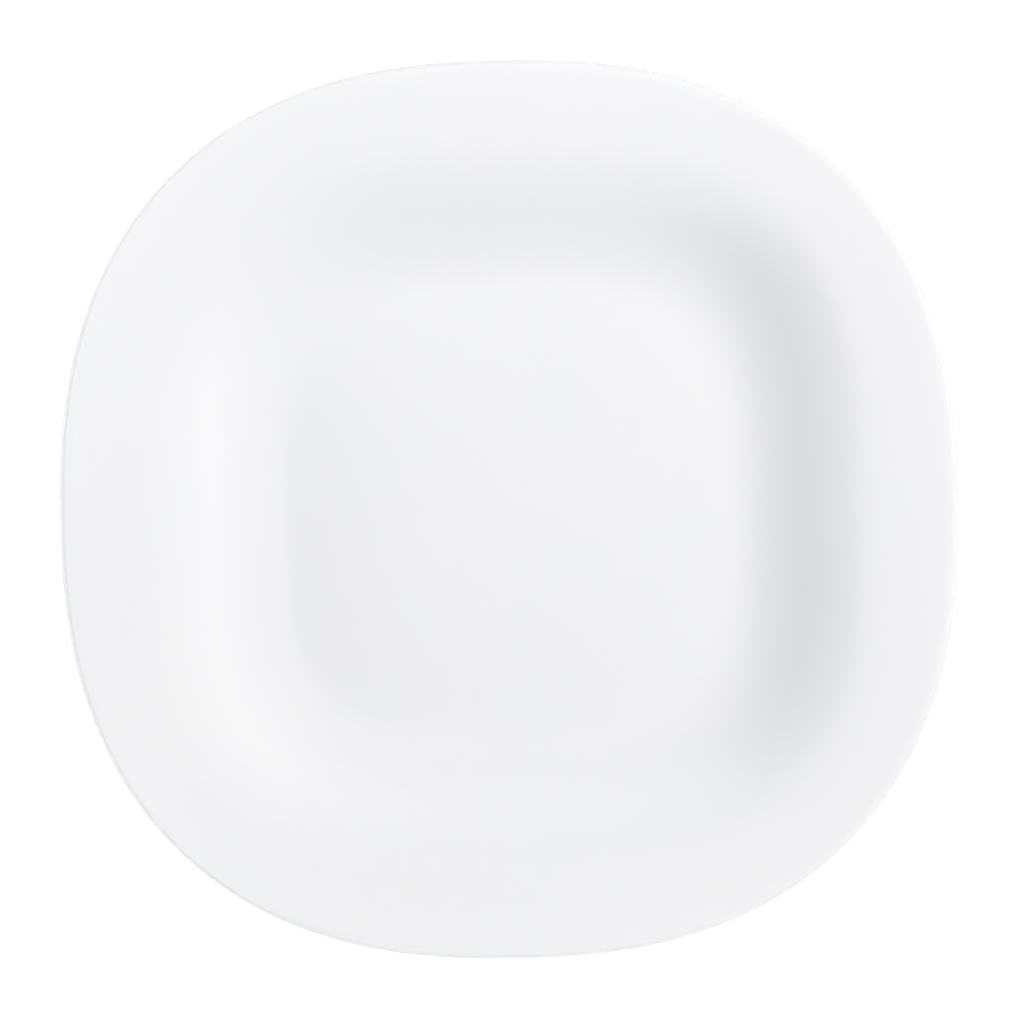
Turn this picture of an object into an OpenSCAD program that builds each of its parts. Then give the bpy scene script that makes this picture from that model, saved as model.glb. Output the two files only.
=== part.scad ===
// Square dinner plate with softly bowed sides and round corners.
// It is pressed in one piece from white opal glass, so the whole plate is one node.
// The origin is the centre of the foot's resting face, +Z is up, and the sides face X and Y.

/* [Outline] */
// Width across the rim, from side to side
plate_w = 260; // [245:1:272]
// Width across the rim, from corner to corner
plate_diagonal = 275; // [262:1:300]

/* [Well] */
// Width of the floor, from the trough at one side to the trough at the other
floor_w = 127; // [117:1:135]
// Width of the floor, from corner to corner
floor_diagonal = 148; // [137:1:157]
// Rise of the floor's middle above the trough round it
crown_h = 1.6; // [0.8:0.1:3]
// Radius of the hollow curve from the floor into the wall
heel_r = 52; // [32:1:60]
// Steepest slope of the wall, in degrees
wall_angle = 24.5; // [20:0.5:28]

/* [Rim] */
// Width of the straight part of the rim, at the middle of a side
rim_w = 23; // [15:1:27]
// Slope of the rim, rising outwards, in degrees
rim_angle = 5; // [2.5:0.5:8]
// Radius of the shoulder, which rounds the wall over into the rim
shoulder_r = 60; // [40:1:70]

/* [Glass] */
// Thickness of the floor
floor_t = 4.2; // [3.4:0.1:5.4]
// Thickness of the edge, which is fully rounded
edge_t = 3.2; // [2.6:0.1:4.2]

/* [Foot] */
// Distance from the trough in to the middle of the foot ring
foot_inset = 2; // [0:0.5:6]
// Height of the foot below the floor's underside
foot_h = 2; // [1.6:0.1:3]
// Width of the foot ring at its tip
foot_tip_w = 3.2; // [2.6:0.1:4.4]
// Depth of the flat across the tip, on which the plate rests
foot_flat_depth = 0.2; // [0.1:0.05:0.4]
// Slope of the foot's two flanks from upright, in degrees
foot_flank_angle = 30; // [20:1:40]
// Radius in the hollow corners between the foot and the underside
foot_root_r = 2.4; // [1.2:0.1:3]
// Radius on the two corners of the tip
foot_tip_r = 0.9; // [0.6:0.1:1.1]

/* [Hidden] */

opal_white = "#F1F2F4";

// Counts of steps round the outline, and along each curve of the section
outline_steps = 96;
crown_steps = 3;
heel_steps = 8;
shoulder_steps = 7;
rim_steps = 3;
quarter_lip_steps = 3;
under_heel_steps = 4;
foot_root_steps = 3;
foot_tip_steps = 2;
// How far the outline's steps crowd towards the corners, as a share of an even step
crowding_share = 0.3;
// How much of the wall's run its two curves may fill together
curves_limit_share = 0.98;
// How late the floor's squareness gives way to the edge's on the way out: 1 is evenly, 2 is late
ease_power = 1.5;

half_w = plate_w / 2;
trough = floor_w / 2;
rim_start = half_w - rim_w;
foot = trough - foot_inset;

// Where the wall is too short for its two curves, both are drawn in alike
shoulder_run = shoulder_r * (sin(wall_angle) - sin(rim_angle));
curves_run = heel_r * sin(wall_angle) + shoulder_run;
curves_scale_share = min(1, curves_limit_share * (rim_start - trough) / curves_run);
heel = heel_r * curves_scale_share;
shoulder = shoulder_r * curves_scale_share;

// Ends and centres of the section's curves, from the trough outwards
trough_z = foot_h + floor_t;
heel_end = [trough + heel * sin(wall_angle), trough_z + heel * (1 - cos(wall_angle))];
wall_top_a = rim_start - shoulder_run * curves_scale_share;
wall_top_z = heel_end[1] + (wall_top_a - heel_end[0]) * tan(wall_angle);
shoulder_centre = [wall_top_a + shoulder * sin(wall_angle), wall_top_z - shoulder * cos(wall_angle)];
rim_start_z = shoulder_centre[1] + shoulder * cos(rim_angle);

// The floor's crown is one arc, which runs smoothly into the heel just inside the trough
crown_r = (pow(trough, 2) + pow(crown_h, 2) - 2 * heel * crown_h) / (2 * crown_h);
crown_angle = asin(trough / (crown_r + heel));
crown_centre_z = trough_z + crown_h - crown_r;

// The lip is a half round that spans the glass
lip_r = edge_t / 2;
lip_start = half_w - lip_r - lip_r * sin(rim_angle);
lip_start_z = rim_start_z + (lip_start - rim_start) * tan(rim_angle);
lip_centre = [half_w - lip_r, lip_start_z - lip_r * cos(rim_angle)];

// How near a value lies to high, from 0 at low to 1 at high
function share_of(value, low, high) = min(1, max(0, (value - low) / (high - low)));

// Values spread evenly from one to another, without the first
function steps_after(first, last, steps) = [for (i = [1 : steps]) first + (last - first) * i / steps];

// The power of the superellipse with this width and diagonal: 2 for a circle, higher for squarer
function squareness_of(width, diagonal) = 1 / (1 / 2 - ln(diagonal / width) / ln(2));

edge_squareness = squareness_of(plate_w, plate_diagonal);
floor_squareness = squareness_of(floor_w, floor_diagonal);

// Squareness of the ring that crosses the middle of a side this far from the centre
function squareness(a) =
    floor_squareness + (edge_squareness - floor_squareness) * pow(share_of(a, trough, half_w), ease_power);

// Thickness of the glass under a point of the upper face
function thickness(a) = floor_t + (edge_t - floor_t) * share_of(a, trough, lip_start);

// The section is taken at the middle of a side. A point of its upper face is
// [distance from the centre, height, slope in degrees].
function crown_point(slope) = [-crown_r * sin(slope), crown_centre_z + crown_r * cos(slope), slope];
function heel_point(slope) = [trough + heel * sin(slope), trough_z + heel * (1 - cos(slope)), slope];
function shoulder_point(slope) =
    [shoulder_centre[0] - shoulder * sin(slope), shoulder_centre[1] + shoulder * cos(slope), slope];
function rim_point(a) = [a, rim_start_z + (a - rim_start) * tan(rim_angle), rim_angle];

// A point of the lip, at a turn from straight up
function lip_point(turn) = lip_centre + lip_r * [sin(turn), cos(turn)];

// The underside lies square to the upper face, one thickness away
function under(point) =
    let (t = thickness(point[0]))
    [point[0] + t * sin(point[2]), point[1] - t * cos(point[2])];

upper_face = concat(
    [crown_point(0)],
    [for (slope = steps_after(0, -crown_angle, crown_steps)) crown_point(slope)],
    [for (slope = steps_after(-crown_angle, wall_angle, heel_steps)) heel_point(slope)],
    [shoulder_point(wall_angle)],
    [for (slope = steps_after(wall_angle, rim_angle, shoulder_steps)) shoulder_point(slope)],
    [for (a = steps_after(rim_start, lip_start, rim_steps)) rim_point(a)]
);

lip = concat(
    [for (turn = steps_after(-rim_angle, 90, quarter_lip_steps)) lip_point(turn)],
    [for (turn = steps_after(90, 180 - rim_angle, quarter_lip_steps)) lip_point(turn)]
);

// A corner between two straight lines, rounded with a radius
function rounded_corner(from, corner, to, radius, steps) =
    let (
        u = (from - corner) / norm(from - corner),
        v = (to - corner) / norm(to - corner),
        half = acos(u * v) / 2,
        sweep = 180 - 2 * half,
        centre = corner + (u + v) / norm(u + v) * radius / sin(half),
        start = corner + u * radius / tan(half) - centre,
        finish = corner + v * radius / tan(half) - centre
    )
    [for (i = [0 : steps])
        let (turn = sweep * i / steps)
        centre + (start * sin(sweep - turn) + finish * sin(turn)) / sin(sweep)];

// The foot is a tapered bead, drawn a little too deep, so that the flat can be cut across its tip
foot_flank_run = (foot_h + foot_flat_depth) * tan(foot_flank_angle);
foot_root_run = foot_tip_w / 2 + foot_flank_run;
under_heel_slope = asin((foot + 2 * foot_root_run - trough) / (heel + floor_t));
under_crown_slope = -asin((foot - 2 * foot_root_run) / (crown_r - floor_t));

outer_side = under(heel_point(under_heel_slope));
outer_root = [foot + foot_root_run, foot_h];
outer_tip = [foot + foot_tip_w / 2, -foot_flat_depth];
inner_tip = [foot - foot_tip_w / 2, -foot_flat_depth];
inner_root = [foot - foot_root_run, foot_h];
inner_side = under(crown_point(under_crown_slope));

foot_bead = concat(
    rounded_corner(outer_side, outer_root, outer_tip, foot_root_r, foot_root_steps),
    rounded_corner(outer_root, outer_tip, inner_tip, foot_tip_r, foot_tip_steps),
    rounded_corner(outer_tip, inner_tip, inner_root, foot_tip_r, foot_tip_steps),
    rounded_corner(inner_tip, inner_root, inner_side, foot_root_r, foot_root_steps)
);

under_face = concat(
    [for (a = steps_after(lip_start, rim_start, rim_steps)) under(rim_point(a))],
    [for (slope = steps_after(rim_angle, wall_angle, shoulder_steps)) under(shoulder_point(slope))],
    [under(heel_point(wall_angle))],
    [for (slope = steps_after(wall_angle, under_heel_slope, under_heel_steps)) under(heel_point(slope))],
    foot_bead,
    [inner_side],
    [for (slope = steps_after(under_crown_slope, 0, crown_steps)) under(crown_point(slope))]
);

// The whole section, from the middle of the upper face out to the lip and back below
section = concat(upper_face, lip, under_face);

// Directions of the outline's steps: 45 / PI makes the crowding a share of the step between them
outline_angles =
    [for (i = [0 : outline_steps - 1])
        let (even = 360 * i / outline_steps)
        even + crowding_share * sin(4 * even) * 45 / PI];

// Where the ring through a point of the section passes in this direction
function ring_point(point, angle) =
    let (
        n = squareness(point[0]),
        reach = point[0] / pow(pow(abs(cos(angle)), n) + pow(abs(sin(angle)), n), 1 / n)
    )
    [reach * cos(angle), reach * sin(angle), point[1]];

// A closed skin over the section's rings, which starts and ends on the axis
module ringed_skin(profile, angles) {
    count = len(angles);
    last = len(profile) - 1;
    points = concat(
        [[0, 0, profile[0][1]]],
        [for (i = [1 : last - 1], angle = angles) ring_point(profile[i], angle)],
        [[0, 0, profile[last][1]]]
    );
    bottom = len(points) - 1;
    function at(ring, step) = 1 + (ring - 1) * count + step % count;
    faces = concat(
        [for (j = [0 : count - 1]) [0, at(1, j + 1), at(1, j)]],
        [for (i = [1 : last - 2], j = [0 : count - 1]) [at(i, j), at(i, j + 1), at(i + 1, j + 1)]],
        [for (i = [1 : last - 2], j = [0 : count - 1]) [at(i, j), at(i + 1, j + 1), at(i + 1, j)]],
        [for (j = [0 : count - 1]) [at(last - 1, j), at(last - 1, j + 1), bottom]]
    );
    polyhedron(points = points, faces = faces);
}

// Everything that the foot's bead holds below its flat
module below_the_flat() {
    translate([-floor_w, -floor_w, -foot_h])
        cube([2 * floor_w, 2 * floor_w, foot_h]);
}

module plate() {
    color(opal_white)
        difference() {
            ringed_skin(section, outline_angles);
            below_the_flat();
        }
}

plate();
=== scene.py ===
"""Square dinner plate in white opal glass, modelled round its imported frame, with a stage for its picture."""

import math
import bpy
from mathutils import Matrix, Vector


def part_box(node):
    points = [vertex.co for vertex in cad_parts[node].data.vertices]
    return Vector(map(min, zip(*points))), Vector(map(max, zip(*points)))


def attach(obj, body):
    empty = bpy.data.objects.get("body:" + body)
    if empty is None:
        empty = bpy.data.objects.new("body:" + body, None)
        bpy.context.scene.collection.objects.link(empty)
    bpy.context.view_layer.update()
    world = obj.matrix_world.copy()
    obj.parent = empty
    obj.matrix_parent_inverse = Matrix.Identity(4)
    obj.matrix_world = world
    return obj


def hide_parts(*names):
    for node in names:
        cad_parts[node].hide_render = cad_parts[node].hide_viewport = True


bl_info = {
    "name": "Square dinner plate",
    "version": (1, 0, 0),
    "blender": (4, 5, 0),
    "location": "3D View > Sidebar > Plate",
    "description": "Presses a square dinner plate from white opal glass and sets it on a white table",
    "category": "Add Mesh",
}

import bpy
import numpy as np
from bpy.props import FloatProperty, FloatVectorProperty, IntProperty, PointerProperty
from mathutils import Matrix, Vector

MM = 0.001
WHITE = (1, 1, 1, 1)

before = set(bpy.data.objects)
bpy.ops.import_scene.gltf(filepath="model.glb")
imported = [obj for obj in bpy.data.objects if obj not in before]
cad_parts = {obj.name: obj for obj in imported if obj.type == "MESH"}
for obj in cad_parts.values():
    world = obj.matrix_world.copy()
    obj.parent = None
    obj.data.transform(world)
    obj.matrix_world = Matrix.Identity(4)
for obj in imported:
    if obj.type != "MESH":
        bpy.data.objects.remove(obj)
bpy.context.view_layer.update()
CAD_LOW, CAD_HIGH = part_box("plate")

# The photograph's frame: where the plate's middle lies, how wide the plate is, and how it is turned
PHOTO_WIDTH_PX = 1024
PLATE_MIDDLE_PX = Vector((509.3, 509.2))
PLATE_WIDTH_PX = 898.2
PLATE_TURN = math.radians(1.07)
SENSOR_MM = 36

# How far the outline's steps crowd towards the corners, as a share of an even step
CROWDING_SHARE = 0.3
# How late the floor's squareness gives way to the edge's on the way out: 1 is evenly, 2 is late
EASE_POWER = 1.5
# How the floor falls away from its middle: 2 is evenly, as an arc, and 3 is faster towards the trough
CROWN_POWER = 3
# How far in from the edge the glass looks thinner and cooler
EDGE_GLOW = 5 * MM
# Counts of steps along each curve of the section
CROWN_STEPS = 16
KNEE_STEPS = 10
HEEL_STEPS = 16
WALL_STEPS = 4
SHOULDER_STEPS = 16
RIM_STEPS = 8
QUARTER_LIP_STEPS = 9
FOOT_CORNER_STEPS = 8
# How far up the foot's flat is rubbed dull
RUBBED_HEIGHT = 0.2 * MM
# How far red, green and blue light wander in the opal, as shares of its depth
WANDER_SHARES = (1.0, 0.97, 0.93)

# The soft lights: name, direction from the plate, distance and width in metres, level and colour.
# The level is what a light adds to a white card that faces it.
SOFTBOXES = (
    ("key_high", (0.45, 0.10, 1.0), 1.9, 2.8, 0.10, "#FFFBF5"),
    ("key_low", (2.40, 0.10, 1.0), 1.9, 2.4, 0.21, "#FFFBF5"),
    ("right_front", (0.75, -0.45, 1.0), 1.9, 2.8, 0.16, "#FFFDFB"),
    ("right_back", (0.75, 0.55, 1.0), 1.9, 2.8, 0.16, "#FFFDFB"),
    ("right_back_low", (1.30, 1.00, 1.0), 1.9, 2.4, 0.04, "#FFF0D2"),
    ("back_low", (0.10, 1.30, 1.0), 1.4, 2.2, 0.15, "#FDFDFF"),
    ("back_close", (0.10, 0.60, 1.0), 0.7, 1.1, 0.10, "#FDFDFF"),
    ("back_left", (-0.35, 0.60, 1.0), 0.8, 1.1, 0.16, "#F5F7FF"),
    ("front", (0.00, -0.80, 1.0), 1.9, 2.8, 0.25, "#F5F7FF"),
    ("overhead", (0.00, 0.00, 1.0), 2.6, 3.0, 0.17, "#FFFDF8"),
)
# The room's walls glow fully up to one height, and not above the other, as parts of straight up
WALLS_FULL, WALLS_TOP = 0.10, 0.50
# The light pads that lie on the table: name, middle, width and depth in metres, and level.
# A pad of level 1 glows as a white card does in full light.
LIGHT_PADS = (
    ("left_pad", (-0.6, 0.0), (0.8, 1.6), 4.2),
    ("front_pad", (0.0, -0.6), (1.6, 0.8), 2.2),
    ("back_pad", (0.0, 0.6), (1.6, 0.8), 0.5),
)
PAD_HEIGHT = 2 * MM
# A softbox fades smoothly from its middle to its sides, which leaves this share of a plain one's light
FADED_SHARE = 3 * math.pi / 40


def linear(hex_colour):
    """An sRGB hex colour as linear red, green, blue and alpha."""
    channels = [int(hex_colour[i : i + 2], 16) / 255 for i in (1, 3, 5)]
    return [c / 12.92 if c <= 0.04045 else ((c + 0.055) / 1.055) ** 2.4 for c in channels] + [1.0]


def length(name, description, default):
    """A size in the scene's own units."""
    return FloatProperty(name=name, description=description, default=default, min=0, unit="LENGTH")


def turn(name, description, degrees):
    """An angle, given in degrees and kept in radians."""
    return FloatProperty(
        name=name, description=description, default=math.radians(degrees), unit="ROTATION"
    )


def colour(name, description, hex_colour):
    """A colour swatch, given as sRGB hex and kept linear."""
    return FloatVectorProperty(
        name=name, description=description, default=linear(hex_colour), size=4, subtype="COLOR", min=0, max=1
    )


class PlateSizes(bpy.types.PropertyGroup):
    """Sizes of the plate's section, at the middle of a side, and of its outline."""

    width: length("Width", "Width across the rim, from side to side", CAD_HIGH.x - CAD_LOW.x)
    diagonal: length("Diagonal", "Width across the rim, from corner to corner", 275 * MM)
    floor_width: length("Floor width", "Width between the troughs at opposite sides", 127 * MM)
    floor_diagonal: length("Floor diagonal", "Width of the floor, from corner to corner", 148 * MM)
    crown_height: length("Crown", "Rise of the floor's middle above the trough", 1.9 * MM)
    knee_radius: length("Knee radius", "Tight curve along the bottom of the trough", 30 * MM)
    knee_angle: turn("Knee angle", "Slope at which the knee runs out into the heel", 5)
    heel_radius: length("Heel radius", "Hollow curve from the floor into the wall", 52 * MM)
    wall_angle: turn("Wall angle", "Steepest slope of the wall", 24.5)
    shoulder_radius: length("Shoulder radius", "Curve that rounds the wall over into the rim", 60 * MM)
    rim_width: length("Rim width", "Straight part of the rim, at the middle of a side", 23 * MM)
    rim_angle: turn("Rim angle", "Slope of the rim, rising outwards", 5)
    floor_thickness: length("Floor thickness", "Thickness of the floor's glass", 4.2 * MM)
    edge_thickness: length("Edge thickness", "Thickness of the rounded edge", 3.2 * MM)
    foot_inset: length("Foot inset", "From the trough in to the middle of the foot ring", 2 * MM)
    foot_height: length("Foot height", "Height of the foot below the floor's underside", 2 * MM)
    foot_tip_width: length("Foot tip width", "Width of the foot ring at its tip", 3.2 * MM)
    foot_flat_depth: length("Foot flat", "Depth of the flat across the foot's tip", 0.2 * MM)
    foot_flank_angle: turn("Foot flank", "Slope of the foot's flanks from upright", 30)
    foot_root_radius: length("Foot root radius", "Hollow corners beside the foot", 2.4 * MM)
    foot_tip_radius: length("Foot tip radius", "Corners of the foot's tip", 0.9 * MM)
    outline_steps: IntProperty(name="Outline steps", description="Steps round the plate", default=256, min=16)


class GlassLook(bpy.types.PropertyGroup):
    """Colours and finish of the opal glass."""

    body: colour("Body", "Opal white seen through the clear skin", "#F2F3F5")
    cloud: colour("Cloud", "The opal where it is a little denser", "#EFF1F4")
    edge: colour("Edge", "The thin rounded edge, where light leaks out", "#EDEFF2")
    scuff: colour("Scuff", "Rubbed glass on the foot's flat", "#DEDFE1")
    roughness: FloatProperty(
        name="Roughness", description="Of the fire-polished skin", default=0.09, min=0, max=1
    )
    scuffed: FloatProperty(
        name="Scuffed", description="Roughness of the foot's flat", default=0.5, min=0, max=1
    )
    opal_share: FloatProperty(
        name="Opal share", description="How much of the light wanders in the opal", default=0.4, min=0, max=1
    )
    lip_share: FloatProperty(
        name="Lip share", description="The same in the thin lip", default=1.0, min=0, max=1
    )
    opal_depth: length("Opal depth", "How far the light wanders sideways in the opal", 5 * MM)
    ior: FloatProperty(name="IOR", description="Of the clear skin", default=1.5, min=1)
    cloud_size: length("Cloud size", "Width of the denser clouds in the opal", 35 * MM)
    speck_size: length("Speck size", "Width of the rubbed specks on the foot's flat", 1.5 * MM)
    wave_length: length("Wave length", "Of the slow waves that the plunger pressed in", 18 * MM)
    wave_height: length("Wave height", "Of the same waves", 0.02 * MM)
    peel_size: length("Peel size", "Width of the faint orange peel left by the flame", 2.5 * MM)
    peel_height: length("Peel height", "Of the same orange peel", 0.0015 * MM)


class StageSizes(bpy.types.PropertyGroup):
    """The table, the camera and the lights."""

    table_width: length("Table", "Width of the white table", 8.0)
    card: colour("Card", "The table's card, as it lights the plate", "#EDEDED")
    card_shade: FloatProperty(
        name="Card shade", description="How much of the shadow on the card is seen", default=0.32, min=0
    )
    card_white: FloatProperty(
        name="Card white", description="White that is seen over the shadow", default=0.84, min=0
    )
    lens: FloatProperty(name="Lens", description="Focal length in millimetres", default=200, min=20)
    light_level: FloatProperty(name="Lights", description="Level of all the softboxes", default=1.0, min=0)
    pad_level: FloatProperty(
        name="Light pads", description="Level of the pads that light the lip", default=1.0, min=0
    )
    room_level: FloatProperty(
        name="Room", description="Light from the pale walls round the table", default=0.4, min=0
    )


def eased(share):
    """A share from 0 to 1 that leaves and arrives gently."""
    share = np.clip(share, 0, 1)
    return share * share * (3 - 2 * share)


def squareness_of(width, diagonal):
    """The power of the superellipse with this width and diagonal: 2 for a circle, higher for squarer."""
    return 1 / (1 / 2 - math.log2(diagonal / width))


def arc(centre, radius, first, last, steps):
    """Section points on an arc, at turns from straight up, without the first."""
    turns = [first + (last - first) * i / steps for i in range(1, steps + 1)]
    return [centre + radius * Vector((math.sin(t), math.cos(t))) for t in turns]


def line(first, last, steps):
    """Section points on a straight line, without the first."""
    return [first.lerp(last, i / steps) for i in range(1, steps + 1)]


def rounded_corner(before, corner, after, radius):
    """Section points round one of the foot's corners, between two straight lines."""
    u, v = (before - corner).normalized(), (after - corner).normalized()
    half = u.angle(v) / 2
    sweep = math.pi - 2 * half
    centre = corner + (u + v).normalized() * radius / math.sin(half)
    start, finish = (corner + side * radius / math.tan(half) - centre for side in (u, v))
    turns = [sweep * i / FOOT_CORNER_STEPS for i in range(FOOT_CORNER_STEPS + 1)]
    return [centre + (start * math.sin(sweep - t) + finish * math.sin(t)) / math.sin(sweep) for t in turns]


def crown_curve(end, slope):
    """Section points of the floor's crown, from its middle out to where it falls at this slope."""
    fall = end.x * math.tan(slope) / CROWN_POWER
    shares = [i / CROWN_STEPS for i in range(CROWN_STEPS + 1)]
    return [Vector((end.x * share, end.y + fall * (1 - share**CROWN_POWER))) for share in shares]


def upper_face(sizes):
    """Section points of the upper face, from its middle out to where the lip starts."""
    half_width, trough = sizes.width / 2, sizes.floor_width / 2
    wall, rim = sizes.wall_angle, sizes.rim_angle
    heel, shoulder = sizes.heel_radius, sizes.shoulder_radius
    crown, knee, knee_end = sizes.crown_height, sizes.knee_radius, sizes.knee_angle
    trough_z = sizes.foot_height + sizes.floor_thickness
    rim_start = half_width - sizes.rim_width

    # The knee turns inside the heel's curve, and the crown meets it at this slope
    heel_centre = Vector((trough, trough_z + heel))
    knee_centre = heel_centre + (heel - knee) * Vector((math.sin(knee_end), -math.cos(knee_end)))
    flat_part, bent_part = knee_centre.x / CROWN_POWER, knee * (1 / 2 - 1 / CROWN_POWER)
    crown_slope = (math.sqrt(flat_part**2 + 4 * bent_part * crown) - flat_part) / (2 * bent_part)
    crown_end = knee_centre - knee * Vector((math.sin(crown_slope), math.cos(crown_slope)))
    heel_end = heel_centre + heel * Vector((math.sin(wall), -math.cos(wall)))
    wall_top_a = rim_start - shoulder * (math.sin(wall) - math.sin(rim))
    wall_top = Vector((wall_top_a, heel_end.y + (wall_top_a - heel_end.x) * math.tan(wall)))
    shoulder_centre = wall_top + shoulder * Vector((math.sin(wall), -math.cos(wall)))
    rim_first = shoulder_centre + shoulder * Vector((-math.sin(rim), math.cos(rim)))
    lip_radius = sizes.edge_thickness / 2
    lip_start_a = half_width - lip_radius * (1 + math.sin(rim))
    rim_last = Vector((lip_start_a, rim_first.y + (lip_start_a - rim_first.x) * math.tan(rim)))

    return [
        *crown_curve(crown_end, crown_slope),
        *arc(knee_centre, knee, math.pi + crown_slope, math.pi - knee_end, KNEE_STEPS),
        *arc(heel_centre, heel, math.pi - knee_end, math.pi - wall, HEEL_STEPS),
        *line(heel_end, wall_top, WALL_STEPS),
        *arc(shoulder_centre, shoulder, -wall, -rim, SHOULDER_STEPS),
        *line(rim_first, rim_last, RIM_STEPS),
    ]


def lip(sizes, start):
    """Section points of the half round edge, from the end of the upper face to the underside."""
    radius, rim = sizes.edge_thickness / 2, sizes.rim_angle
    centre = start + radius * Vector((math.sin(rim), -math.cos(rim)))
    upper_quarter = arc(centre, radius, -rim, math.pi / 2, QUARTER_LIP_STEPS)
    lower_quarter = arc(centre, radius, math.pi / 2, math.pi - rim, QUARTER_LIP_STEPS)
    return upper_quarter + lower_quarter


def underside(sizes, upper):
    """Section points one glass thickness below the upper face, from the lip in to the middle."""
    trough, lip_start = sizes.floor_width / 2, upper[-1].x
    points = []
    for i, point in enumerate(upper):
        before, after = upper[max(i - 1, 0)], upper[min(i + 1, len(upper) - 1)]
        along = (after - before).normalized() if point.x > 0 else Vector((1, 0))
        share = min(1, max(0, (point.x - trough) / (lip_start - trough)))
        thickness = sizes.floor_thickness + (sizes.edge_thickness - sizes.floor_thickness) * share
        points.append(point + thickness * Vector((along.y, -along.x)))
    return points[-2::-1]


def with_foot(sizes, below):
    """The underside's points, with the foot ring let in between them and cut flat where it rests."""
    foot = sizes.floor_width / 2 - sizes.foot_inset
    tip, depth = sizes.foot_tip_width / 2, sizes.foot_flat_depth
    root = tip + (sizes.foot_height + depth) * math.tan(sizes.foot_flank_angle)
    outside = [p for p in below if p.x > foot + 2 * root]
    inside = [p for p in below if p.x < foot - 2 * root]
    corners = [
        outside[-1],
        Vector((foot + root, sizes.foot_height)),
        Vector((foot + tip, -depth)),
        Vector((foot - tip, -depth)),
        Vector((foot - root, sizes.foot_height)),
        inside[0],
    ]
    radii = [sizes.foot_root_radius, sizes.foot_tip_radius, sizes.foot_tip_radius, sizes.foot_root_radius]
    bead = []
    for before, corner, after, radius in zip(corners, corners[1:], corners[2:], radii):
        bead += rounded_corner(before, corner, after, radius)
    return outside + cut_flat(bead) + inside


def cut_flat(points):
    """The same points, with whatever hangs below the table's plane cut off level with it."""
    kept = []
    for before, after in zip(points, points[1:]):
        if before.y >= 0:
            kept.append(before)
        if (before.y >= 0) != (after.y >= 0):
            kept.append(before.lerp(after, before.y / (before.y - after.y)))
    return kept + points[-1:]


def whole_section(sizes):
    """The closed section, from the middle of the upper face round the lip to the middle below."""
    upper = upper_face(sizes)
    return upper + lip(sizes, upper[-1]) + with_foot(sizes, underside(sizes, upper))


def draw_section(name, points):
    """Draws the section as a chain of edges, extruded point by point from one vertex."""
    bpy.ops.object.select_all(action="DESELECT")
    bpy.ops.mesh.primitive_plane_add(size=MM)
    piece = bpy.context.object
    piece.name = piece.data.name = name
    bpy.ops.object.mode_set(mode="EDIT")
    bpy.ops.mesh.select_all(action="SELECT")
    bpy.ops.mesh.merge(type="CENTER")
    bpy.ops.transform.translate(value=(points[0].x, 0, points[0].y))
    for before, after in zip(points, points[1:]):
        step = after - before
        bpy.ops.mesh.extrude_region_move(TRANSFORM_OT_translate={"value": (step.x, 0, step.y)})
    return piece


def spin_section(steps):
    """Spins the drawn section into a closed round plate."""
    bpy.ops.mesh.select_all(action="SELECT")
    bpy.ops.mesh.spin(steps=steps, angle=math.tau, center=(0, 0, 0), axis=(0, 0, 1))
    bpy.ops.mesh.select_all(action="SELECT")
    bpy.ops.mesh.remove_doubles(threshold=0.001 * MM)
    bpy.ops.mesh.normals_make_consistent(inside=False)
    bpy.ops.object.mode_set(mode="OBJECT")


def square_off(piece, sizes):
    """Moves each ring of the round plate out to its superellipse, and notes how near it is to the edge."""
    mesh = piece.data
    points = np.empty(len(mesh.vertices) * 3)
    mesh.vertices.foreach_get("co", points)
    points = points.reshape(-1, 3)
    reach = np.hypot(points[:, 0], points[:, 1])
    even = np.arctan2(points[:, 1], points[:, 0])

    half_width, trough = sizes.width / 2, sizes.floor_width / 2
    edge = squareness_of(sizes.width, sizes.diagonal)
    floor = squareness_of(sizes.floor_width, sizes.floor_diagonal)
    outward = np.clip((reach - trough) / (half_width - trough), 0, 1)
    power = floor + (edge - floor) * outward**EASE_POWER

    angle = even + CROWDING_SHARE * np.sin(4 * even) / 4
    cosine, sine = np.cos(angle), np.sin(angle)
    reach_out = reach / (np.abs(cosine) ** power + np.abs(sine) ** power) ** (1 / power)
    points[:, 0], points[:, 1] = reach_out * cosine, reach_out * sine
    mesh.vertices.foreach_set("co", points.ravel())

    near_edge = mesh.attributes.new("near_edge", "FLOAT", "POINT")
    near_edge.data.foreach_set("value", eased((reach - half_width + EDGE_GLOW) / EDGE_GLOW))
    mesh.update()


def add_node(tree, kind, inputs=None, **settings):
    """Adds a node with its settings. Each input is a value, or another node's output to link from."""
    node = tree.nodes.new(kind)
    for key, value in settings.items():
        setattr(node, key, value)
    for key, value in (inputs or {}).items():
        if isinstance(value, bpy.types.NodeSocket):
            tree.links.new(value, node.inputs[key])
        else:
            node.inputs[key].default_value = value
    return node.outputs


def new_tree(owner):
    """The emptied node tree of a material or world."""
    owner.use_nodes = True
    owner.node_tree.nodes.clear()
    return owner.node_tree


def mix_colour(tree, share, first, second):
    """One colour shading into another by a share."""
    outputs = add_node(tree, "ShaderNodeMix", {0: share, 6: first, 7: second}, data_type="RGBA")
    return outputs[2]


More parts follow.
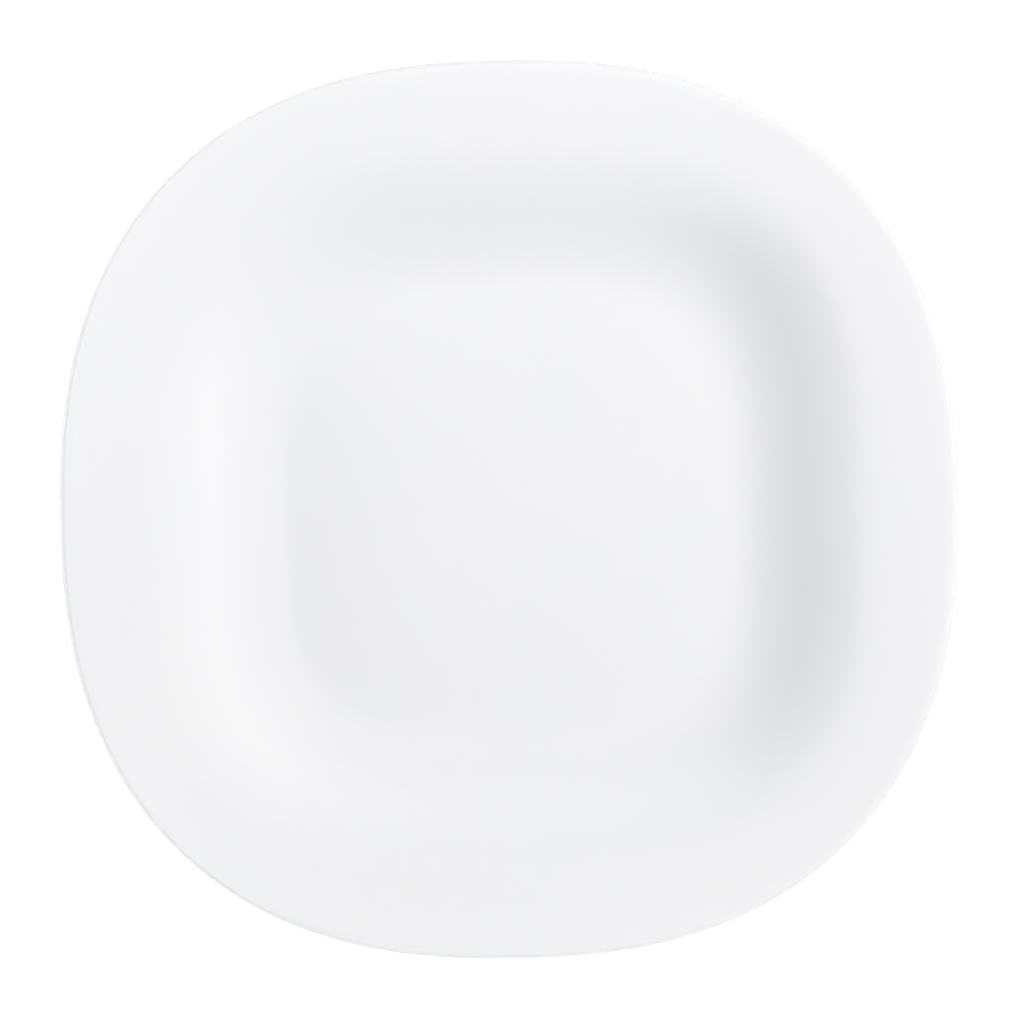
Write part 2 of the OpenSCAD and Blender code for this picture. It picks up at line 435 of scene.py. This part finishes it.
def pressed_opal_glass(look):
    """White opal glass, pressed in a mould and then fire-polished.

    Fluoride crystals make the glass milky all through, so light wanders a little before it turns
    back, and the thin edge looks cooler. The flame leaves a clear and very smooth skin, with only
    the slow waves that the plunger pressed in. The foot's flat is rubbed dull by tables and stacks.
    """
    material = bpy.data.materials.new("pressed_opal_glass")
    tree = new_tree(material)
    place = add_node(tree, "ShaderNodeTexCoord")["Object"]
    height = add_node(tree, "ShaderNodeSeparateXYZ", {"Vector": place})["Z"]

    # The opal is a little denser in clouds, and cooler at the thin edge
    clouds = add_node(tree, "ShaderNodeTexNoise", {"Vector": place, "Scale": 1 / look.cloud_size})["Fac"]
    near_edge = add_node(tree, "ShaderNodeAttribute", attribute_name="near_edge")["Fac"]
    body = mix_colour(tree, clouds, look.body[:], look.cloud[:])
    body = mix_colour(tree, near_edge, body, look.edge[:])

    # The foot's flat is rubbed in specks, up to its rounded corners
    specks = add_node(tree, "ShaderNodeTexNoise", {"Vector": place, "Scale": 1 / look.speck_size})["Fac"]
    resting = add_node(
        tree, "ShaderNodeMapRange", {"Value": height, "From Min": RUBBED_HEIGHT, "From Max": 0.0}
    )["Result"]
    rubbed = add_node(tree, "ShaderNodeMath", {0: specks, 1: resting}, operation="MULTIPLY")[0]
    body = mix_colour(tree, rubbed, body, look.scuff[:])
    roughness = add_node(
        tree, "ShaderNodeMapRange", {"Value": rubbed, "To Min": look.roughness, "To Max": look.scuffed}
    )["Result"]

    # The plunger leaves slow waves, and the flame a faint orange peel over them
    waves, peel = (
        add_node(tree, "ShaderNodeTexNoise", {"Vector": place, "Scale": 1 / size, "Detail": 1.0})["Fac"]
        for size in (look.wave_length, look.peel_size)
    )
    normal = add_node(tree, "ShaderNodeBump", {"Height": waves, "Distance": look.wave_height})["Normal"]
    normal = add_node(
        tree, "ShaderNodeBump", {"Height": peel, "Distance": look.peel_height, "Normal": normal}
    )["Normal"]

    # Light gets into the thin lip from above, from the side and from below, and wanders all through it
    wandering = add_node(
        tree, "ShaderNodeMapRange", {"Value": near_edge, "To Min": look.opal_share, "To Max": look.lip_share}
    )["Result"]

    glass = add_node(
        tree,
        "ShaderNodeBsdfPrincipled",
        {
            "Base Color": body,
            "Roughness": roughness,
            "IOR": look.ior,
            "Subsurface Weight": wandering,
            "Subsurface Radius": WANDER_SHARES,
            "Subsurface Scale": look.opal_depth,
            "Normal": normal,
        },
        subsurface_method="RANDOM_WALK",
    )["BSDF"]
    add_node(tree, "ShaderNodeOutputMaterial", {"Surface": glass})
    return material


def seen_ray(tree):
    """1 for rays that show a surface as it is: from the camera, a gloss or a clear body."""
    path = add_node(tree, "ShaderNodeLightPath")
    seen = path["Is Camera Ray"]
    for kind in ("Is Glossy Ray", "Is Transmission Ray"):
        seen = add_node(tree, "ShaderNodeMath", {0: seen, 1: path[kind]}, operation="MAXIMUM")[0]
    return seen


def white_table(stage):
    """Matt white card. It looks white with only a breath of shadow, as in a catalogue picture.

    It has no back, so that the foot can be seen from below.
    """
    material = bpy.data.materials.new("matt_white_card")
    tree = new_tree(material)
    card = add_node(tree, "ShaderNodeBsdfDiffuse", {"Color": stage.card[:]})["BSDF"]
    grey = (stage.card_shade, stage.card_shade, stage.card_shade, 1)
    shaded = add_node(tree, "ShaderNodeBsdfDiffuse", {"Color": grey})["BSDF"]
    white = add_node(tree, "ShaderNodeEmission", {"Color": WHITE, "Strength": stage.card_white})["Emission"]
    look = add_node(tree, "ShaderNodeAddShader", {0: shaded, 1: white})["Shader"]
    front = add_node(tree, "ShaderNodeMixShader", {0: seen_ray(tree), 1: card, 2: look})["Shader"]
    behind = add_node(tree, "ShaderNodeNewGeometry")["Backfacing"]
    clear = add_node(tree, "ShaderNodeBsdfTransparent")["BSDF"]
    surface = add_node(tree, "ShaderNodeMixShader", {0: behind, 1: front, 2: clear})["Shader"]
    add_node(tree, "ShaderNodeOutputMaterial", {"Surface": surface})
    return material


def pale_room(level):
    """A pale room that glows round the horizon, as white walls round a table do. Seen, it is plain white."""
    world = bpy.data.worlds.new("pale_room")
    tree = new_tree(world)
    direction = add_node(tree, "ShaderNodeTexCoord")["Generated"]
    height = add_node(tree, "ShaderNodeSeparateXYZ", {"Vector": direction})["Z"]
    glow = add_node(
        tree,
        "ShaderNodeMapRange",
        {"Value": height, "From Min": WALLS_TOP, "From Max": WALLS_FULL, "To Max": level},
        interpolation_type="SMOOTHSTEP",
    )["Result"]
    walls = add_node(tree, "ShaderNodeBackground", {"Color": WHITE, "Strength": glow})["Background"]
    white = add_node(tree, "ShaderNodeBackground", {"Color": WHITE, "Strength": 1.0})["Background"]
    surface = add_node(tree, "ShaderNodeMixShader", {0: seen_ray(tree), 1: walls, 2: white})["Shader"]
    add_node(tree, "ShaderNodeOutputWorld", {"Surface": surface})
    return world


def softbox(name, direction, distance, width, level, hex_colour):
    """A square soft light aimed at the plate, which fades towards its sides as a lit cloth does."""
    place = Vector(direction).normalized() * distance
    turned = (-place).to_track_quat("-Z", "Y").to_euler()
    bpy.ops.object.light_add(type="AREA", location=place, rotation=turned)
    light = bpy.context.object
    light.name = light.data.name = name
    light.visible_camera = False
    light.data.size = width
    light.data.color = linear(hex_colour)[:3]
    light.data.energy = level / FADED_SHARE * (math.pi * distance) ** 2

    tree = new_tree(light.data)
    across = add_node(tree, "ShaderNodeNewGeometry")["Parametric"]
    middle = (0.5, 0.5, 0)
    aside = add_node(tree, "ShaderNodeVectorMath", {0: across, 1: middle}, operation="DISTANCE")["Value"]
    faded = add_node(
        tree,
        "ShaderNodeMapRange",
        {"Value": aside, "From Min": 0.5, "From Max": 0.0},
        interpolation_type="SMOOTHSTEP",
    )["Result"]
    cloth = add_node(tree, "ShaderNodeEmission", {"Strength": faded})["Emission"]
    add_node(tree, "ShaderNodeOutputLight", {"Surface": cloth})


def light_pad(name, middle, size, level):
    """A glowing pad that lies flat on the table beside the plate.

    It is lower than the rim, so it lights the lip and the underside, but nothing inside the plate.
    """
    bpy.ops.object.light_add(type="AREA", location=(*middle, PAD_HEIGHT), rotation=(math.pi, 0, 0))
    light = bpy.context.object
    light.name = light.data.name = name
    light.visible_camera = False
    light.data.shape = "RECTANGLE"
    light.data.size, light.data.size_y = size
    light.data.energy = level * math.pi * size[0] * size[1]


def photo_camera(sizes, lens):
    """A camera straight above, which frames the plate as the photograph does."""
    metres_per_px = sizes.width / PLATE_WIDTH_PX
    middle = Vector((PHOTO_WIDTH_PX / 2, PHOTO_WIDTH_PX / 2))
    aside = Vector((middle.x - PLATE_MIDDLE_PX.x, PLATE_MIDDLE_PX.y - middle.y)) * metres_per_px
    aside.rotate(Matrix.Rotation(-PLATE_TURN, 2))
    widest_z = CAD_HIGH.z - sizes.edge_thickness / 2
    distance = lens / SENSOR_MM * PHOTO_WIDTH_PX * metres_per_px
    bpy.ops.object.camera_add(
        location=(aside.x, aside.y, widest_z + distance), rotation=(0, 0, -PLATE_TURN)
    )
    camera = bpy.context.object
    camera.name = camera.data.name = "photo_camera"
    camera.data.lens = lens
    camera.data.sensor_width = SENSOR_MM
    bpy.context.scene.camera = camera


class PLATE_OT_press(bpy.types.Operator):
    """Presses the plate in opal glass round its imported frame"""

    bl_idname = "square_plate.press"
    bl_label = "Press the plate"

    def execute(self, context):
        sizes, look = context.scene.plate_sizes, context.scene.plate_look
        points = whole_section(sizes)
        plate = draw_section("plate_glass", points)
        spin_section(sizes.outline_steps)
        square_off(plate, sizes)
        bpy.ops.object.shade_smooth()
        plate.data.materials.append(pressed_opal_glass(look))
        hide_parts("plate")
        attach(plate, "root")
        return {"FINISHED"}


class PLATE_OT_stage(bpy.types.Operator):
    """Sets the white table, the camera straight above and the soft lights"""

    bl_idname = "square_plate.stage"
    bl_label = "Set the stage"

    def execute(self, context):
        sizes, stage = context.scene.plate_sizes, context.scene.plate_stage
        bpy.ops.mesh.primitive_plane_add(size=stage.table_width)
        table = context.object
        table.name = "white_table"
        table.data.materials.append(white_table(stage))
        photo_camera(sizes, stage.lens)
        for name, direction, distance, width, level, hex_colour in SOFTBOXES:
            softbox(name, direction, distance, width, level * stage.light_level, hex_colour)
        for name, middle, size, level in LIGHT_PADS:
            light_pad(name, middle, size, level * stage.pad_level)
        context.scene.world = pale_room(stage.room_level)
        context.scene.view_settings.view_transform = "Standard"
        return {"FINISHED"}


class PLATE_PT_sidebar(bpy.types.Panel):
    """Sizes, colours and steps of the plate, in the 3D view's sidebar"""

    bl_idname = "PLATE_PT_sidebar"
    bl_label = "Square dinner plate"
    bl_space_type = "VIEW_3D"
    bl_region_type = "UI"
    bl_category = "Plate"

    def draw(self, context):
        scene, layout = context.scene, self.layout
        for operator, group in (
            (PLATE_OT_press, scene.plate_sizes),
            (None, scene.plate_look),
            (PLATE_OT_stage, scene.plate_stage),
        ):
            column = layout.box().column()
            if operator:
                column.operator(operator.bl_idname)
            for key in group.bl_rna.properties.keys():
                if key not in ("rna_type", "name"):
                    column.prop(group, key)


CLASSES = (PlateSizes, GlassLook, StageSizes, PLATE_OT_press, PLATE_OT_stage, PLATE_PT_sidebar)


def register():
    for each in CLASSES:
        bpy.utils.register_class(each)
    bpy.types.Scene.plate_sizes = PointerProperty(type=PlateSizes)
    bpy.types.Scene.plate_look = PointerProperty(type=GlassLook)
    bpy.types.Scene.plate_stage = PointerProperty(type=StageSizes)


def unregister():
    del bpy.types.Scene.plate_stage
    del bpy.types.Scene.plate_look
    del bpy.types.Scene.plate_sizes
    for each in reversed(CLASSES):
        bpy.utils.unregister_class(each)


def main():
    register()
    bpy.ops.square_plate.press()
    bpy.ops.square_plate.stage()


if __name__ == "__main__":
    main()
